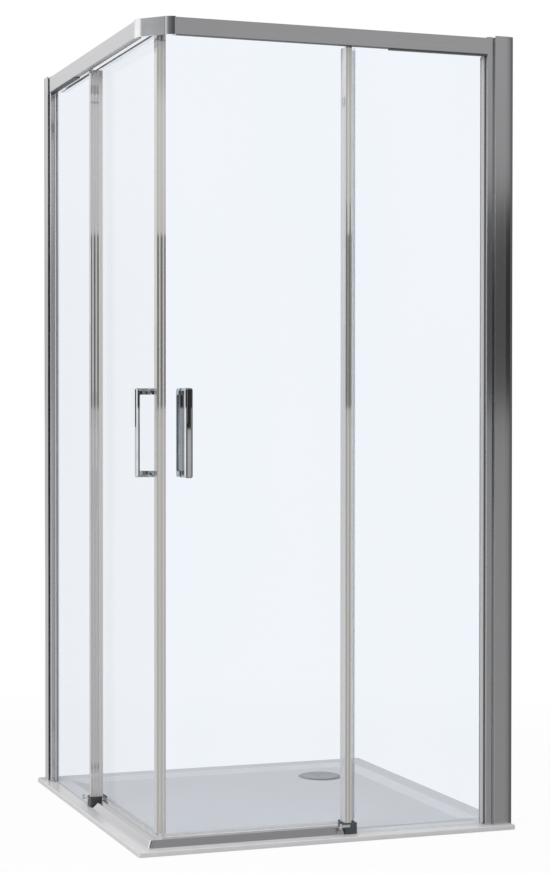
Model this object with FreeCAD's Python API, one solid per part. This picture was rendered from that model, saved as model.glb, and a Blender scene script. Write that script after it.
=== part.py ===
import FreeCAD, Part
import math
import os

os.makedirs("parts", exist_ok=True)
V = FreeCAD.Vector

# Every length is in millimetres. The enclosure is square in plan and both sides are alike, so each
# piece of the front side is drawn once and mirrored for the left side; only the lever on the guide keeps
# its hand. A side is drawn with u running along it from the near corner to the wall and v running inwards
# from the outer face of its rail.

# tray
tray_width = 1000.0
tray_height = 12.0
tray_corner = 5.0
tray_edge_round = 2.5
setback = 19.0
side_length = tray_width - setback
dish_depth = 6.0
dish_slope = 40.0
dish_corner = 34.0
dish_wall_rim = 52.0

# waste and its cover
drain_inset = 212.0
drain_hole_r = 45.0
drain_ring_r = 63.0
drain_ring_width = 14.0
drain_seat_depth = 2.0
drain_cover_r = 56.0
drain_cover_dome = 3.0
drain_cover_plate = 1.6
drain_foot_r = 4.0
drain_feet = 3
drain_foot_inset = 1.0
drain_rim = 4.0

# heights above the floor
rail_top = 2006.0
rail_height = 42.0
profile_top = rail_top + 6.0
handle_middle = 1010.0

# clearances
fit_gap = 0.3
bore_gap = 0.05
pane_gap = 0.2
small_gap = 0.8
seal_gap = 2.0
overcut = 1.0

# edges of the extrusions and mouldings
edge_soft = 0.5
edge_round = 1.0

# glass
glass = 6.0
fixed_v = 16.0
door_v = 47.5
fixed_start = 528.0
fixed_top_gap = 10.0
door_top_gap = 3.5

# top rail
rail_depth = 70.0
rail_wall = 2.0
skirt_depth = fixed_v - pane_gap
rail_roof = 2.5
track_rise = 12.0
track_floor = 2.5
track_slot = glass + 4.0
track_rib = 1.5
rib_foot = 2.8
rib_crown = 1.2
rib_sunk = 0.2
rail_tail = 2.0
rail_round = 1.5

# corner connector
connector_reach = 80.0
chamfer_line = 63.0
shoulder_round = 36.0
connector_wall = 3.0
connector_proud = 1.5
tongue_length = 40.0
tongue_root = 2.0

# wall profile and the adjusting profile inside it
wall_profile_width = 52.0
wall_profile_depth = 31.0
wall_profile_proud = 1.0
wall_profile_wall = 2.0
wall_profile_back = 3.0
crown_run = 22.0
crown_drop = 5.0
crown_round = 48.0
screw_hole_r = 2.75
screw_rows = 4
screw_end = 160.0
adjust_out = 21.0
adjust_in = 34.0
adjust_face_v = 3.0
adjust_groove_width = 6.5
adjust_groove_depth = 4.0
adjust_wall = 2.5
adjust_tuck = 1.0
adjust_drop = 3.0
adjust_round = 4.0
pane_bite = 26.0

# seals and strips
gasket_thick = 2.2
gasket_out = 10.0
gasket_lip = 0.8
edge_clip_width = 16.0
edge_clip_wall = 1.8
edge_fin = 3.5
edge_fin_gap = 0.6
setting_strip = 2.0
strip_out = 2.5
strip_upstand = 3.0
strip_lip = 1.2
clamp_start = 640.0
clamp_drop = 3.0
magnet_reach = 22.5
magnet_wall = 1.2
magnet_skin = 1.6
magnet_bite = 9.0
magnet_clear = 3.0
trailing_width = 11.0
trailing_wall = 1.4
trailing_fin = 2.4
trailing_overlap = 40.0
drip_wall = 2.2
drip_height = 13.4
drip_fin = 6.6
drip_gap = 0.6
drip_toe = 1.0

# threshold
threshold_foot_v = 16.0
threshold_slope = 8.0
threshold_height = 18.0
threshold_lip = 20.0
threshold_back_v = 60.0
threshold_ledge = 12.0
threshold_wall = 2.0
threshold_round = 1.2
threshold_corner = 10.0

# bottom guide
guide_width = 31.0
guide_height = 28.0
guide_cheek = 3.2
guide_inner_arm = 4.5
guide_round = 2.0
lever_reach = 15.0
lever_out = 7.0
lever_low = 18.0
lever_height = 6.0
lever_plate = 3.0
lever_root = 12.0
lever_bend = 2.0
lever_tip = 1.2
lever_round = 3.5
knob_r = 3.2
knob_length = 13.0
knob_drop = 3.5
knob_bevel = 1.0

# door fittings
handle_length = 218.0
handle_width = 22.0
handle_bar = 7.8
handle_leg = 15.6
handle_u = 106.5
handle_outer_v = 13.9
handle_round = 3.0
handle_crown = 6.5
handle_belly = 1.0
handle_washer = 1.0
handle_washer_r = 7.4
handle_bolt_r = 4.0
bolt_bite = 9.0
bolt_slack = 1.0
glass_hole_r = 6.0
roller_near_u = 140.0
roller_far_u = 480.0
wheel_r = 9.8
wheel_groove = 1.2
wheel_width = 7.0
wheel_bevel = 0.6
groove_mouth = 3.6
groove_floor = 1.8
wheel_offset = 10.5
axle_r = 4.0
axle_head_r = 6.0
axle_head = 2.0
bush_flange_r = 8.6

# places worked out from the sizes above
near_corner = setback - tray_width / 2
drain_place = side_length - drain_inset
rail_bottom = rail_top - rail_height
track_bottom = rail_bottom + track_rise
track_top = track_bottom + track_floor
roof_bottom = rail_top - rail_roof
wheel_z = track_top + track_rib + fit_gap + wheel_r - wheel_groove
door_middle_v = door_v + glass / 2
fixed_back_v = fixed_v + glass
wall_profile_start = side_length - wall_profile_width
adjust_start = wall_profile_start - adjust_out
adjust_end = wall_profile_start + adjust_in
adjust_back_v = wall_profile_depth - wall_profile_proud - wall_profile_wall - fit_gap
rail_end = adjust_start - fit_gap
edge_start = fixed_start - edge_clip_wall - pane_gap
fixed_bottom = tray_height + setting_strip
fixed_top = roof_bottom - fixed_top_gap
threshold_top = tray_height + threshold_height
ledge_z = tray_height + threshold_ledge
drip_bottom = ledge_z + drip_gap
door_bottom = drip_bottom + drip_fin + pane_gap
door_top = roof_bottom - door_top_gap
seal_bottom = drip_bottom + drip_height + seal_gap
seal_top = rail_bottom - seal_gap
magnet_top = track_bottom - magnet_clear
door_start = door_v - magnet_wall + magnet_reach - magnet_bite + pane_gap
door_end = edge_start + trailing_overlap - trailing_wall - pane_gap
guide_top = tray_height + guide_height
edge_bottom = guide_top + fit_gap
floor_z = tray_height - dish_depth
seat_z = floor_z - drain_seat_depth


def outline(corners):
    """Closed wire in the ground plane from corners given as x, y and rounding radius."""
    spots = []
    count = len(corners)
    for index in range(count):
        x, y, radius = corners[index]
        here = V(x, y, 0)
        before = V(corners[index - 1][0], corners[index - 1][1], 0) - here
        after = V(corners[(index + 1) % count][0], corners[(index + 1) % count][1], 0) - here
        before.normalize()
        after.normalize()
        if radius == 0:
            spots.append((here, here, here))
            continue
        half = before.getAngle(after) / 2
        reach = radius / math.tan(half)
        inward = before + after
        inward.normalize()
        middle = here + inward * (radius / math.sin(half) - radius)
        spots.append((here + before * reach, middle, here + after * reach))
    edges = []
    for index in range(count):
        start, middle, end = spots[index]
        following = spots[(index + 1) % count][0]
        if (end - start).Length > 1e-6:
            edges.append(Part.Arc(start, middle, end).toShape())
        if (following - end).Length > 1e-6:
            edges.append(Part.makeLine(end, following))
    return Part.Wire(edges)


def upright(corners, bottom, top):
    """Extrusion standing up, from corners in u and v."""
    body = Part.Face(outline(corners)).extrude(V(0, 0, top - bottom))
    body.translate(V(0, 0, bottom))
    return body


def lengthwise(corners, start, end):
    """Extrusion along the side, from corners in v and z."""
    body = Part.Face(outline(corners)).extrude(V(0, 0, end - start))
    turn = FreeCAD.Rotation(V(0, 1, 0), V(0, 0, 1), V(1, 0, 0), "XYZ")
    body.Placement = FreeCAD.Placement(V(start, 0, 0), turn)
    return body


def block(u0, u1, v0, v1, z0, z1):
    return Part.makeBox(u1 - u0, v1 - v0, z1 - z0, V(u0, v0, z0))


def rectangle(x0, x1, y0, y1, radius=0.0):
    return [(x0, y0, radius), (x1, y0, radius), (x1, y1, radius), (x0, y1, radius)]


def cross_pin(radius, u, v0, v1, z):
    """Round bar square to the glass."""
    return Part.makeCylinder(radius, v1 - v0, V(u, v0, z), V(0, 1, 0))


def edges_at(body, height, tolerance=1e-4):
    return [edge for edge in body.Edges
            if all(abs(vertex.Z - height) < tolerance for vertex in edge.Vertexes)]


def save(name, shape):
    shape.exportStep("parts/" + name + ".step")


def save_centre(name, shape):
    """Save a piece drawn from the near corner."""
    placed = shape.copy()
    placed.translate(V(near_corner, near_corner, 0))
    save(name, placed)


def save_pair(name, shape, left_shape=None):
    """Save a piece for the front side, and for the left side its mirror image or that of the other shape."""
    save_centre(name + "_front", shape)
    save_centre(name + "_left", (left_shape or shape).mirror(V(0, 0, 0), V(1, -1, 0)))


def shower_tray():
    near = -setback
    slab = upright(rectangle(near, side_length, near, side_length, tray_corner), 0, tray_height)
    slab = slab.makeFillet(tray_edge_round, edges_at(slab, tray_height))
    dish_near = threshold_back_v + guide_inner_arm
    dish_far = side_length - dish_wall_rim
    rim = outline(rectangle(dish_near, dish_far, dish_near, dish_far, dish_corner))
    rim.translate(V(0, 0, tray_height))
    low_near = dish_near + dish_slope
    low_far = dish_far - dish_slope
    floor = outline(rectangle(low_near, low_far, low_near, low_far, dish_corner))
    floor.translate(V(0, 0, floor_z))
    slab = slab.cut(Part.makeLoft([rim, floor], True, True))
    centre = V(drain_place, drain_place, 0)
    slab = slab.cut(Part.makeCylinder(drain_ring_r + fit_gap, tray_height, centre + V(0, 0, seat_z)))
    return slab.cut(Part.makeCylinder(drain_hole_r, tray_height, centre))


def drain_ring():
    """Turned ring with a raised, bevelled lip."""
    inner = drain_ring_r - drain_ring_width
    lip = drain_seat_depth / 2
    lip_top = drain_seat_depth + lip
    recess_r = drain_cover_r + 2 * fit_gap
    section = outline([(inner, 0, 0), (drain_ring_r, 0, 0), (drain_ring_r, drain_seat_depth, 0),
                       (drain_ring_r - lip, lip_top, 0), (recess_r, lip_top, 0),
                       (recess_r, drain_seat_depth, 0), (inner, drain_seat_depth, 0)])
    section.rotate(V(0, 0, 0), V(1, 0, 0), 90)
    ring = Part.Face(section).revolve(V(0, 0, 0), V(0, 0, 1), 360)
    ring.translate(V(drain_place, drain_place, seat_z))
    return ring


def drain_cover():
    """Raised disc, coned towards its middle, with feet that stand on the ring."""
    base = drain_seat_depth + drain_cover_plate / 2
    rim_top = base + drain_cover_plate
    crown_top = rim_top + drain_cover_dome
    section = outline([(0, base, 0), (drain_cover_r, base, 0), (drain_cover_r, rim_top, 0),
                       (drain_cover_r - drain_rim, crown_top - drain_cover_dome / 2, 0),
                       (drain_cover_r / 2, crown_top, 0), (0, crown_top, 0)])
    section.rotate(V(0, 0, 0), V(1, 0, 0), 90)
    disc = Part.Face(section).revolve(V(0, 0, 0), V(0, 0, 1), 360)
    foot_ring = drain_cover_r - drain_foot_r - drain_foot_inset
    for index in range(drain_feet):
        angle = 2 * math.pi * index / drain_feet
        spot = V(foot_ring * math.cos(angle), foot_ring * math.sin(angle), drain_seat_depth)
        disc = disc.fuse(Part.makeCylinder(drain_foot_r, drain_cover_plate, spot))
    disc = disc.removeSplitter()
    disc.translate(V(drain_place, drain_place, seat_z))
    return disc


def wall_profile():
    """Channel screwed to the wall, its visible face crowned towards the wall."""
    outer_v = -wall_profile_proud
    back_v = outer_v + wall_profile_depth
    wall = wall_profile_wall
    turn = side_length - crown_run / 2
    body = upright([(wall_profile_start, outer_v, edge_soft), (turn, outer_v, crown_round),
                    (side_length, outer_v + crown_drop, edge_round), (side_length, back_v, edge_round),
                    (wall_profile_start, back_v, edge_soft)], tray_height, profile_top)
    mouth = wall_profile_start - overcut
    inner_end = side_length - wall_profile_back
    cavity = upright([(mouth, outer_v + wall, 0), (turn - wall_profile_back, outer_v + wall, crown_round),
                      (inner_end, outer_v + wall + crown_drop, edge_soft),
                      (inner_end, back_v - wall, edge_soft), (mouth, back_v - wall, 0)],
                     0, profile_top + overcut)
    body = body.cut(cavity)
    middle_v = outer_v + wall_profile_depth / 2
    spacing = (profile_top - tray_height - 2 * screw_end) / (screw_rows - 1)
    for row in range(screw_rows):
        height = tray_height + screw_end + row * spacing
        hole = Part.makeCylinder(screw_hole_r, 3 * wall_profile_back,
                                 V(side_length - 2 * wall_profile_back, middle_v, height), V(1, 0, 0))
        body = body.cut(hole)
    return body


def adjust_profile():
    """Profile that slides in the wall profile and holds the fixed pane."""
    slide_v = -wall_profile_proud + wall_profile_wall + fit_gap
    groove_v = adjust_face_v + adjust_groove_depth
    groove_start = wall_profile_start - adjust_groove_width
    tuck = wall_profile_start + adjust_tuck
    body = upright([(adjust_start, adjust_face_v, edge_round), (groove_start, adjust_face_v, edge_soft),
                    (groove_start, groove_v, 0), (tuck, groove_v, 0),
                    (tuck, slide_v, 0), (adjust_end, slide_v, adjust_round),
                    (adjust_end, adjust_back_v, edge_soft), (adjust_start, adjust_back_v, edge_round)],
                   tray_height, profile_top - adjust_drop)
    slot = upright(rectangle(adjust_start - overcut, adjust_start + pane_bite + gasket_thick,
                             fixed_v - gasket_thick, fixed_back_v + gasket_thick),
                   0, profile_top + overcut)
    hollow_start = adjust_start + pane_bite + gasket_thick + adjust_wall
    hollow = upright(rectangle(hollow_start, adjust_end - adjust_wall,
                               groove_v + adjust_wall, adjust_back_v - adjust_wall, edge_round),
                     0, profile_top + overcut)
    return body.cut(slot).cut(hollow)


def pane_gasket():
    """Seal folded round the edge of the fixed pane in the adjusting profile."""
    lip_start = adjust_start - gasket_out
    outer_v = fixed_v - gasket_thick
    back_v = fixed_back_v + gasket_thick
    end = adjust_start + pane_bite
    knee = adjust_start - gasket_thick
    body = upright([(lip_start, fixed_v - gasket_lip, 0), (knee, outer_v, edge_soft), (end, outer_v, 0),
                    (end, back_v, 0), (knee, back_v, edge_soft), (lip_start, fixed_back_v + gasket_lip, 0)],
                   fixed_bottom, rail_bottom - clamp_drop - fit_gap)
    pane = block(lip_start - overcut, end - gasket_thick, fixed_v, fixed_back_v, 0, profile_top)
    return body.cut(pane)


def fixed_pane():
    end = adjust_start + pane_bite - gasket_thick - pane_gap
    return upright(rectangle(fixed_start, end, fixed_v, fixed_back_v, edge_soft), fixed_bottom, fixed_top)


def setting_strip_piece():
    """Strip the fixed pane stands on, turned up at the outside of the glass."""
    start = edge_start + guide_width + fit_gap
    end = adjust_start - gasket_out
    face_v = fixed_v - pane_gap
    lip_top = fixed_bottom + strip_upstand
    return lengthwise([(fixed_v - strip_out, tray_height, edge_soft), (fixed_back_v, tray_height, 0),
                       (fixed_back_v, fixed_bottom, 0), (face_v, fixed_bottom, 0),
                       (face_v, lip_top, 0), (fixed_v - strip_lip, lip_top, 0)], start, end)


def edge_profile():
    """Clip on the free edge of the fixed pane with a fin that reaches to the door."""
    outer_v = fixed_v - edge_clip_wall - pane_gap
    back_v = fixed_back_v + edge_clip_wall + pane_gap
    end = edge_start + edge_clip_width
    fin_tip = door_v - edge_fin_gap
    fin_back = edge_start + edge_fin
    body = upright([(edge_start, outer_v, edge_round), (end, outer_v, edge_soft), (end, back_v, edge_soft),
                    (fin_back, back_v, edge_round), (fin_back, fin_tip - edge_fin / 2, edge_round),
                    (edge_start + edge_fin / 4, fin_tip, 0), (edge_start, fin_tip, 0)],
                   edge_bottom, seal_top)
    slot = block(fixed_start - pane_gap, end + overcut, fixed_v - pane_gap, fixed_back_v + pane_gap,
                 0, profile_top)
    return body.cut(slot)


def top_rail():
    """Extrusion with a hollow skirt, a groove for the fixed pane and a slotted roller track."""
    inner_wall = fixed_back_v + pane_gap
    wall = rail_wall
    end = side_length - wall_profile_back - rail_tail
    body = lengthwise([(0, rail_bottom, rail_round), (skirt_depth, rail_bottom, edge_soft),
                       (skirt_depth, roof_bottom, 0), (inner_wall, roof_bottom, 0),
                       (inner_wall, track_bottom, edge_soft), (rail_depth, track_bottom, rail_round),
                       (rail_depth, rail_top, rail_round), (0, rail_top, rail_round)],
                      connector_reach, end)
    chamber = lengthwise(rectangle(wall, skirt_depth - wall, rail_bottom + wall, roof_bottom, edge_soft),
                         0, end + overcut)
    track = lengthwise(rectangle(inner_wall + wall, rail_depth - wall, track_top, roof_bottom, edge_soft),
                       0, end + overcut)
    slot = block(0, end + overcut, door_middle_v - track_slot / 2, door_middle_v + track_slot / 2,
                 track_bottom - overcut, track_top + overcut)
    body = body.cut(chamber).cut(track).cut(slot)
    for side in (-1, 1):
        rib_v = door_middle_v + side * wheel_offset
        rib_bottom = track_top - rib_sunk
        rib_top = track_top + track_rib
        rib = lengthwise([(rib_v - rib_foot / 2, rib_bottom, 0), (rib_v + rib_foot / 2, rib_bottom, 0),
                          (rib_v + rib_crown / 2, rib_top, 0), (rib_v - rib_crown / 2, rib_top, 0)],
                         connector_reach, end)
        body = body.fuse(rib)
    behind_profile = wall_profile_depth - wall_profile_proud + small_gap
    notch = block(rail_end, end + overcut, -overcut, behind_profile, rail_bottom - overcut,
                  rail_top + overcut)
    return body.cut(notch).removeSplitter()


def connector_outline(inset, reach):
    """Corners of the connector's plan, drawn in by the inset from its outer face."""
    face = inset - connector_proud
    turn = chamfer_line + inset * math.sqrt(2) - face
    bend = shoulder_round - inset
    return [(reach, face, 0), (reach, reach, 0), (face, reach, 0), (face, turn, bend), (turn, face, bend)]


def corner_connector():
    """Cap over the corner, chamfered with round shoulders, with a tongue that slides into each rail."""
    reach = connector_reach - fit_gap
    bottom = rail_bottom - fit_gap
    top = rail_top + connector_proud
    body = upright(connector_outline(0, reach), bottom, top)
    body = body.makeFillet(edge_round, [edge for edge in edges_at(body, top)
                                        if edge.CenterOfMass.x + edge.CenterOfMass.y < reach])
    inside = connector_outline(connector_wall, reach + overcut)
    body = body.cut(upright(inside, bottom - overcut, roof_bottom))
    end_plate = block(reach - connector_wall, reach, 0, skirt_depth, bottom, rail_top)
    tongue = block(reach - tongue_root, reach + tongue_length, rail_wall + fit_gap,
                   skirt_depth - rail_wall - fit_gap, rail_bottom + rail_wall + fit_gap,
                   roof_bottom - fit_gap)
    tenon = end_plate.fuse(tongue)
    return body.fuse([tenon, tenon.mirror(V(0, 0, 0), V(1, -1, 0))]).removeSplitter()


def pane_clamp():
    """Dark strip that closes the rail under the skirt in front of the fixed pane."""
    back = fixed_v - fit_gap
    return lengthwise([(rail_wall, rail_bottom - clamp_drop, edge_soft), (back, rail_bottom - clamp_drop, 0),
                       (back, rail_bottom, 0), (rail_wall, rail_bottom, 0)], clamp_start, rail_end)


def threshold():
    """Hollow sill under the door, rounded and mitred at the near corner."""
    foot = threshold_foot_v
    crest = foot + threshold_slope
    lip = crest + threshold_lip
    wall = threshold_wall
    end = edge_start - seal_gap
    body = lengthwise([(foot, tray_height, 0), (threshold_back_v, tray_height, 0),
                       (threshold_back_v, ledge_z, edge_round), (lip, ledge_z, edge_soft),
                       (lip, threshold_top, threshold_round), (crest, threshold_top, threshold_round)],
                      0, end)
    low = tray_height + wall
    high = threshold_top - wall
    skin = wall * math.hypot(threshold_slope, threshold_height) / threshold_height
    run = wall * threshold_slope / threshold_height
    inside = lengthwise([(foot + skin + run, low, 0), (threshold_back_v - wall, low, 0),
                         (threshold_back_v - wall, ledge_z - wall, 0), (lip - wall, ledge_z - wall, 0),
                         (lip - wall, high, 0), (crest + skin - run, high, 0)], -overcut, end + overcut)
    bounds = []
    for edge, height in ((foot, tray_height), (crest, threshold_top)):
        ring = outline([(edge, edge, threshold_corner), (side_length, edge, 0),
                        (side_length, side_length, 0), (edge, side_length, 0)])
        ring.translate(V(0, 0, height))
        bounds.append(ring)
    body = body.common(Part.makeLoft(bounds, True, True))
    half = fit_gap / 2
    far = threshold_back_v + overcut
    mitre = upright([(half, 0, 0), (far + half, far, 0), (-far, far, 0), (-far, 0, 0)], 0, rail_top)
    return body.cut(inside).cut(mitre)


def guide_block():
    """Forked block that holds the foot of the fixed pane and steers the door."""
    outer_v = fixed_v - guide_cheek
    door_side = door_v - drip_wall - small_gap
    inner_arm = door_v + glass + drip_wall + small_gap
    end = edge_start + guide_width
    base_top = drip_bottom - small_gap
    back_v = inner_arm + guide_inner_arm
    body = lengthwise([(outer_v, tray_height, 0), (back_v, tray_height, 0),
                       (back_v, guide_top, guide_round), (inner_arm, guide_top, edge_round),
                       (inner_arm, base_top, edge_round), (door_side, base_top, edge_round),
                       (door_side, guide_top, guide_round), (outer_v, guide_top, guide_round)],
                      edge_start, end)
    pane = block(fixed_start - pane_gap, end + overcut, fixed_v - pane_gap, fixed_back_v + pane_gap,
                 fixed_bottom - pane_gap, rail_top)
    return body.cut(pane)


def guide_lever():
    """Small release lever on the outside of the guide, with a round upright knob."""
    outer_v = fixed_v - guide_cheek
    low = tray_height + lever_low
    tip_u = edge_start - lever_reach
    tip_v = outer_v - lever_out
    root_u = edge_start + lever_root
    face_v = outer_v - lever_plate
    arm = upright([(root_u, outer_v, 0), (root_u, face_v, edge_round),
                   (edge_start + lever_bend, face_v, lever_round), (tip_u, tip_v - lever_tip, edge_round),
                   (tip_u, tip_v + lever_tip, edge_round), (edge_start, outer_v, lever_round)],
                  low, low + lever_height)
    knob = Part.makeCylinder(knob_r, knob_length, V(tip_u, tip_v, low - knob_drop))
    knob = knob.makeChamfer(knob_bevel, [edge for edge in knob.Edges if len(edge.Vertexes) == 1])
    return arm.fuse(knob).removeSplitter()


def other_hand(shape):
    """The same piece turned the other way on the guide block."""
    return shape.mirror(V(edge_start + guide_width / 2, 0, 0), V(1, 0, 0))


def door_pane():
    pane = upright(rectangle(door_start, door_end, door_v, door_v + glass, edge_soft), door_bottom, door_top)
    for u in (roller_near_u, roller_far_u):
        pane = pane.cut(cross_pin(glass_hole_r, u, door_v - overcut, door_v + glass + overcut, wheel_z))
    for height in handle_legs():
        pane = pane.cut(cross_pin(glass_hole_r, handle_u + handle_width / 2, door_v - overcut,
                                  door_v + glass + overcut, height))
    return pane


def magnet_seal():
    """Closing seal on the leading edge, cut on the diagonal to meet its partner."""
    outer_v = door_v - magnet_wall
    back_v = door_v + glass + magnet_wall
    half = fit_gap / 2
    end = outer_v + magnet_reach
    body = upright([(outer_v + half, outer_v, edge_soft), (end, outer_v, edge_soft),
                    (end, back_v, edge_soft), (back_v + half, back_v, edge_soft)], seal_bottom, magnet_top)
    slot = block(end - magnet_bite, end + overcut, door_v, door_v + glass, 0, rail_top)
    hollow = upright(rectangle(back_v + magnet_skin, end - magnet_bite - magnet_wall,
                               outer_v + magnet_skin, back_v - magnet_skin),
                     seal_bottom - overcut, magnet_top + overcut)
    return body.cut(slot).cut(hollow)


def trailing_seal():
    """Clip on the trailing edge with a fin that turns out towards the fixed pane."""
    outer_v = door_v - trailing_wall
    back_v = door_v + glass + trailing_wall
    end = door_end + trailing_wall + pane_gap
    start = end - trailing_width
    fin_v = wall_profile_depth - wall_profile_proud + seal_gap
    body = upright([(start, fin_v, edge_soft), (start + trailing_fin, fin_v, edge_soft),
                    (start + trailing_fin, outer_v, edge_round), (end, outer_v, edge_soft),
                    (end, back_v, edge_soft), (start, back_v, edge_soft)], seal_bottom, seal_top)
    slot = block(start - overcut, door_end + pane_gap, door_v, door_v + glass, 0, rail_top)
    return body.cut(slot)


def drip_seal():
    """Clip on the bottom edge of the door that hangs behind the lip of the sill."""
    outer_v = door_v - drip_wall
    back_v = door_v + glass + drip_wall
    top = drip_bottom + drip_height
    body = lengthwise([(outer_v, drip_bottom, edge_round), (door_middle_v + drip_toe, drip_bottom, edge_soft),
                       (back_v, drip_bottom + drip_fin, edge_round), (back_v, top, edge_soft),
                       (outer_v, top, edge_soft)], door_start + drip_toe, door_end)
    slot = block(0, side_length, door_v, door_v + glass, door_bottom - pane_gap, rail_top)
    return body.cut(slot)


def handle_legs():
    half = handle_length / 2 - handle_leg / 2
    return (handle_middle - half, handle_middle + half)


def handle_back(flat_v, low, high):
    """Shallow round on the back of the bar, where the fingers go."""
    middle_u = handle_u + handle_width / 2
    radius = (handle_width ** 2 / 4 + handle_belly ** 2) / (2 * handle_belly)
    round_bar = Part.makeCylinder(radius, high - low, V(middle_u, flat_v + handle_belly - radius, low))
    return round_bar.common(block(handle_u, handle_u + handle_width, flat_v, flat_v + radius, low, high))


def pull_handle():
    """Flat bar on two legs, in one piece, bored for the bolts through the glass."""
    foot_v = door_v - handle_washer
    low = handle_middle - handle_length / 2
    high = handle_middle + handle_length / 2
    inner_v = handle_outer_v + handle_bar
    frame = [(handle_outer_v, low, handle_round), (foot_v, low, 0), (foot_v, low + handle_leg, 0),
             (inner_v, low + handle_leg, handle_round), (inner_v, high - handle_leg, handle_round),
             (foot_v, high - handle_leg, 0), (foot_v, high, 0), (handle_outer_v, high, handle_round)]
    body = lengthwise(frame, handle_u, handle_u + handle_width)
    front = [edge for edge in body.Edges if abs(edge.CenterOfMass.y - handle_outer_v) < 1e-3
             and edge.Length > handle_length / 2]
    body = body.makeFillet(handle_crown, front)
    body = body.fuse(handle_back(inner_v, low + handle_leg / 2, high - handle_leg / 2)).removeSplitter()
    for height in handle_legs():
        hole = cross_pin(handle_bolt_r + bore_gap, handle_u + handle_width / 2, foot_v - bolt_bite,
                         foot_v + overcut, height)
        body = body.cut(hole)
    return body


def across_glass(shape):
    """The same piece on the other face of the door pane."""
    return shape.mirror(V(0, door_middle_v, 0), V(0, 1, 0))


def handle_bolts():
    foot_v = door_v - handle_washer
    bite = bolt_bite - bolt_slack
    other = 2 * door_middle_v - foot_v + bite
    return Part.makeCompound([cross_pin(handle_bolt_r, handle_u + handle_width / 2, foot_v - bite, other, z)
                              for z in handle_legs()])


def handle_washers():
    """Discs between the handle legs and the glass, one on each face for each bolt."""
    discs = []
    for height in handle_legs():
        middle_u = handle_u + handle_width / 2
        disc = cross_pin(handle_washer_r, middle_u, door_v - handle_washer, door_v, height)
        disc = disc.cut(cross_pin(handle_bolt_r + bore_gap, middle_u, 0, door_middle_v, height))
        discs += [disc, across_glass(disc)]
    return Part.makeCompound(discs)


def roller_axles():
    """Pins that carry a wheel on each side of the glass, with a head at both ends."""
    reach = wheel_offset + wheel_width / 2 + fit_gap
    pins = []
    for u in (roller_near_u, roller_far_u):
        pin = cross_pin(axle_r, u, door_middle_v - reach, door_middle_v + reach, wheel_z)
        head = cross_pin(axle_head_r, u, door_middle_v - reach - axle_head, door_middle_v - reach, wheel_z)
        pins.append(pin.fuse([head, across_glass(head)]).removeSplitter())
    return Part.makeCompound(pins)


def roller_bushes():
    """Plain bushes in the glass, flanged on both faces to space the wheels."""
    flange_end = wheel_offset - wheel_width / 2 - fit_gap
    bushes = []
    for u in (roller_near_u, roller_far_u):
        flange = cross_pin(bush_flange_r, u, door_middle_v - flange_end, door_v, wheel_z)
        sleeve = cross_pin(glass_hole_r - bore_gap, u, door_v - overcut, door_v + glass + overcut, wheel_z)
        bush = sleeve.fuse([flange, across_glass(flange)])
        bore = cross_pin(axle_r + bore_gap, u, 0, 2 * door_middle_v, wheel_z)
        bushes.append(bush.cut(bore).removeSplitter())
    return Part.makeCompound(bushes)


def roller_wheels(u):
    """Pair of grooved wheels on one axle."""
    half = wheel_width / 2
    bore = axle_r + bore_gap
    bevel_r = wheel_r - wheel_bevel
    floor_r = wheel_r - wheel_groove
    section = outline([(bore, -half, 0), (bevel_r, -half, 0), (wheel_r, wheel_bevel - half, 0),
                       (wheel_r, -groove_mouth / 2, 0), (floor_r, -groove_floor / 2, 0),
                       (floor_r, groove_floor / 2, 0), (wheel_r, groove_mouth / 2, 0),
                       (wheel_r, half - wheel_bevel, 0), (bevel_r, half, 0), (bore, half, 0)])
    wheel = Part.Face(section).revolve(V(0, 0, 0), V(0, 1, 0), 360)
    wheel.translate(V(u, door_middle_v - wheel_offset, wheel_z))
    return Part.makeCompound([wheel, across_glass(wheel)])


save_centre("shower_tray", shower_tray())
save_centre("drain_ring", drain_ring())
save_centre("drain_cover", drain_cover())
save_centre("corner_connector", corner_connector())
save_pair("wall_profile", wall_profile())
save_pair("adjust_profile", adjust_profile())
save_pair("pane_gasket", pane_gasket())
save_pair("fixed_pane", fixed_pane())
save_pair("setting_strip", setting_strip_piece())
save_pair("edge_profile", edge_profile())
save_pair("top_rail", top_rail())
save_pair("pane_clamp", pane_clamp())
save_pair("threshold", threshold())
save_pair("guide_block", guide_block())
save_pair("guide_lever", guide_lever(), other_hand(guide_lever()))
save_pair("door_pane", door_pane())
save_pair("magnet_seal", magnet_seal())
save_pair("trailing_seal", trailing_seal())
save_pair("drip_seal", drip_seal())
save_pair("handle_outer", pull_handle())
save_pair("handle_inner", across_glass(pull_handle()))
save_pair("handle_bolts", handle_bolts())
save_pair("handle_washers", handle_washers())
save_pair("roller_axles", roller_axles())
save_pair("roller_bushes", roller_bushes())
save_pair("rollers_near", roller_wheels(roller_near_u))
save_pair("rollers_far", roller_wheels(roller_far_u))
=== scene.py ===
import math

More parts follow.
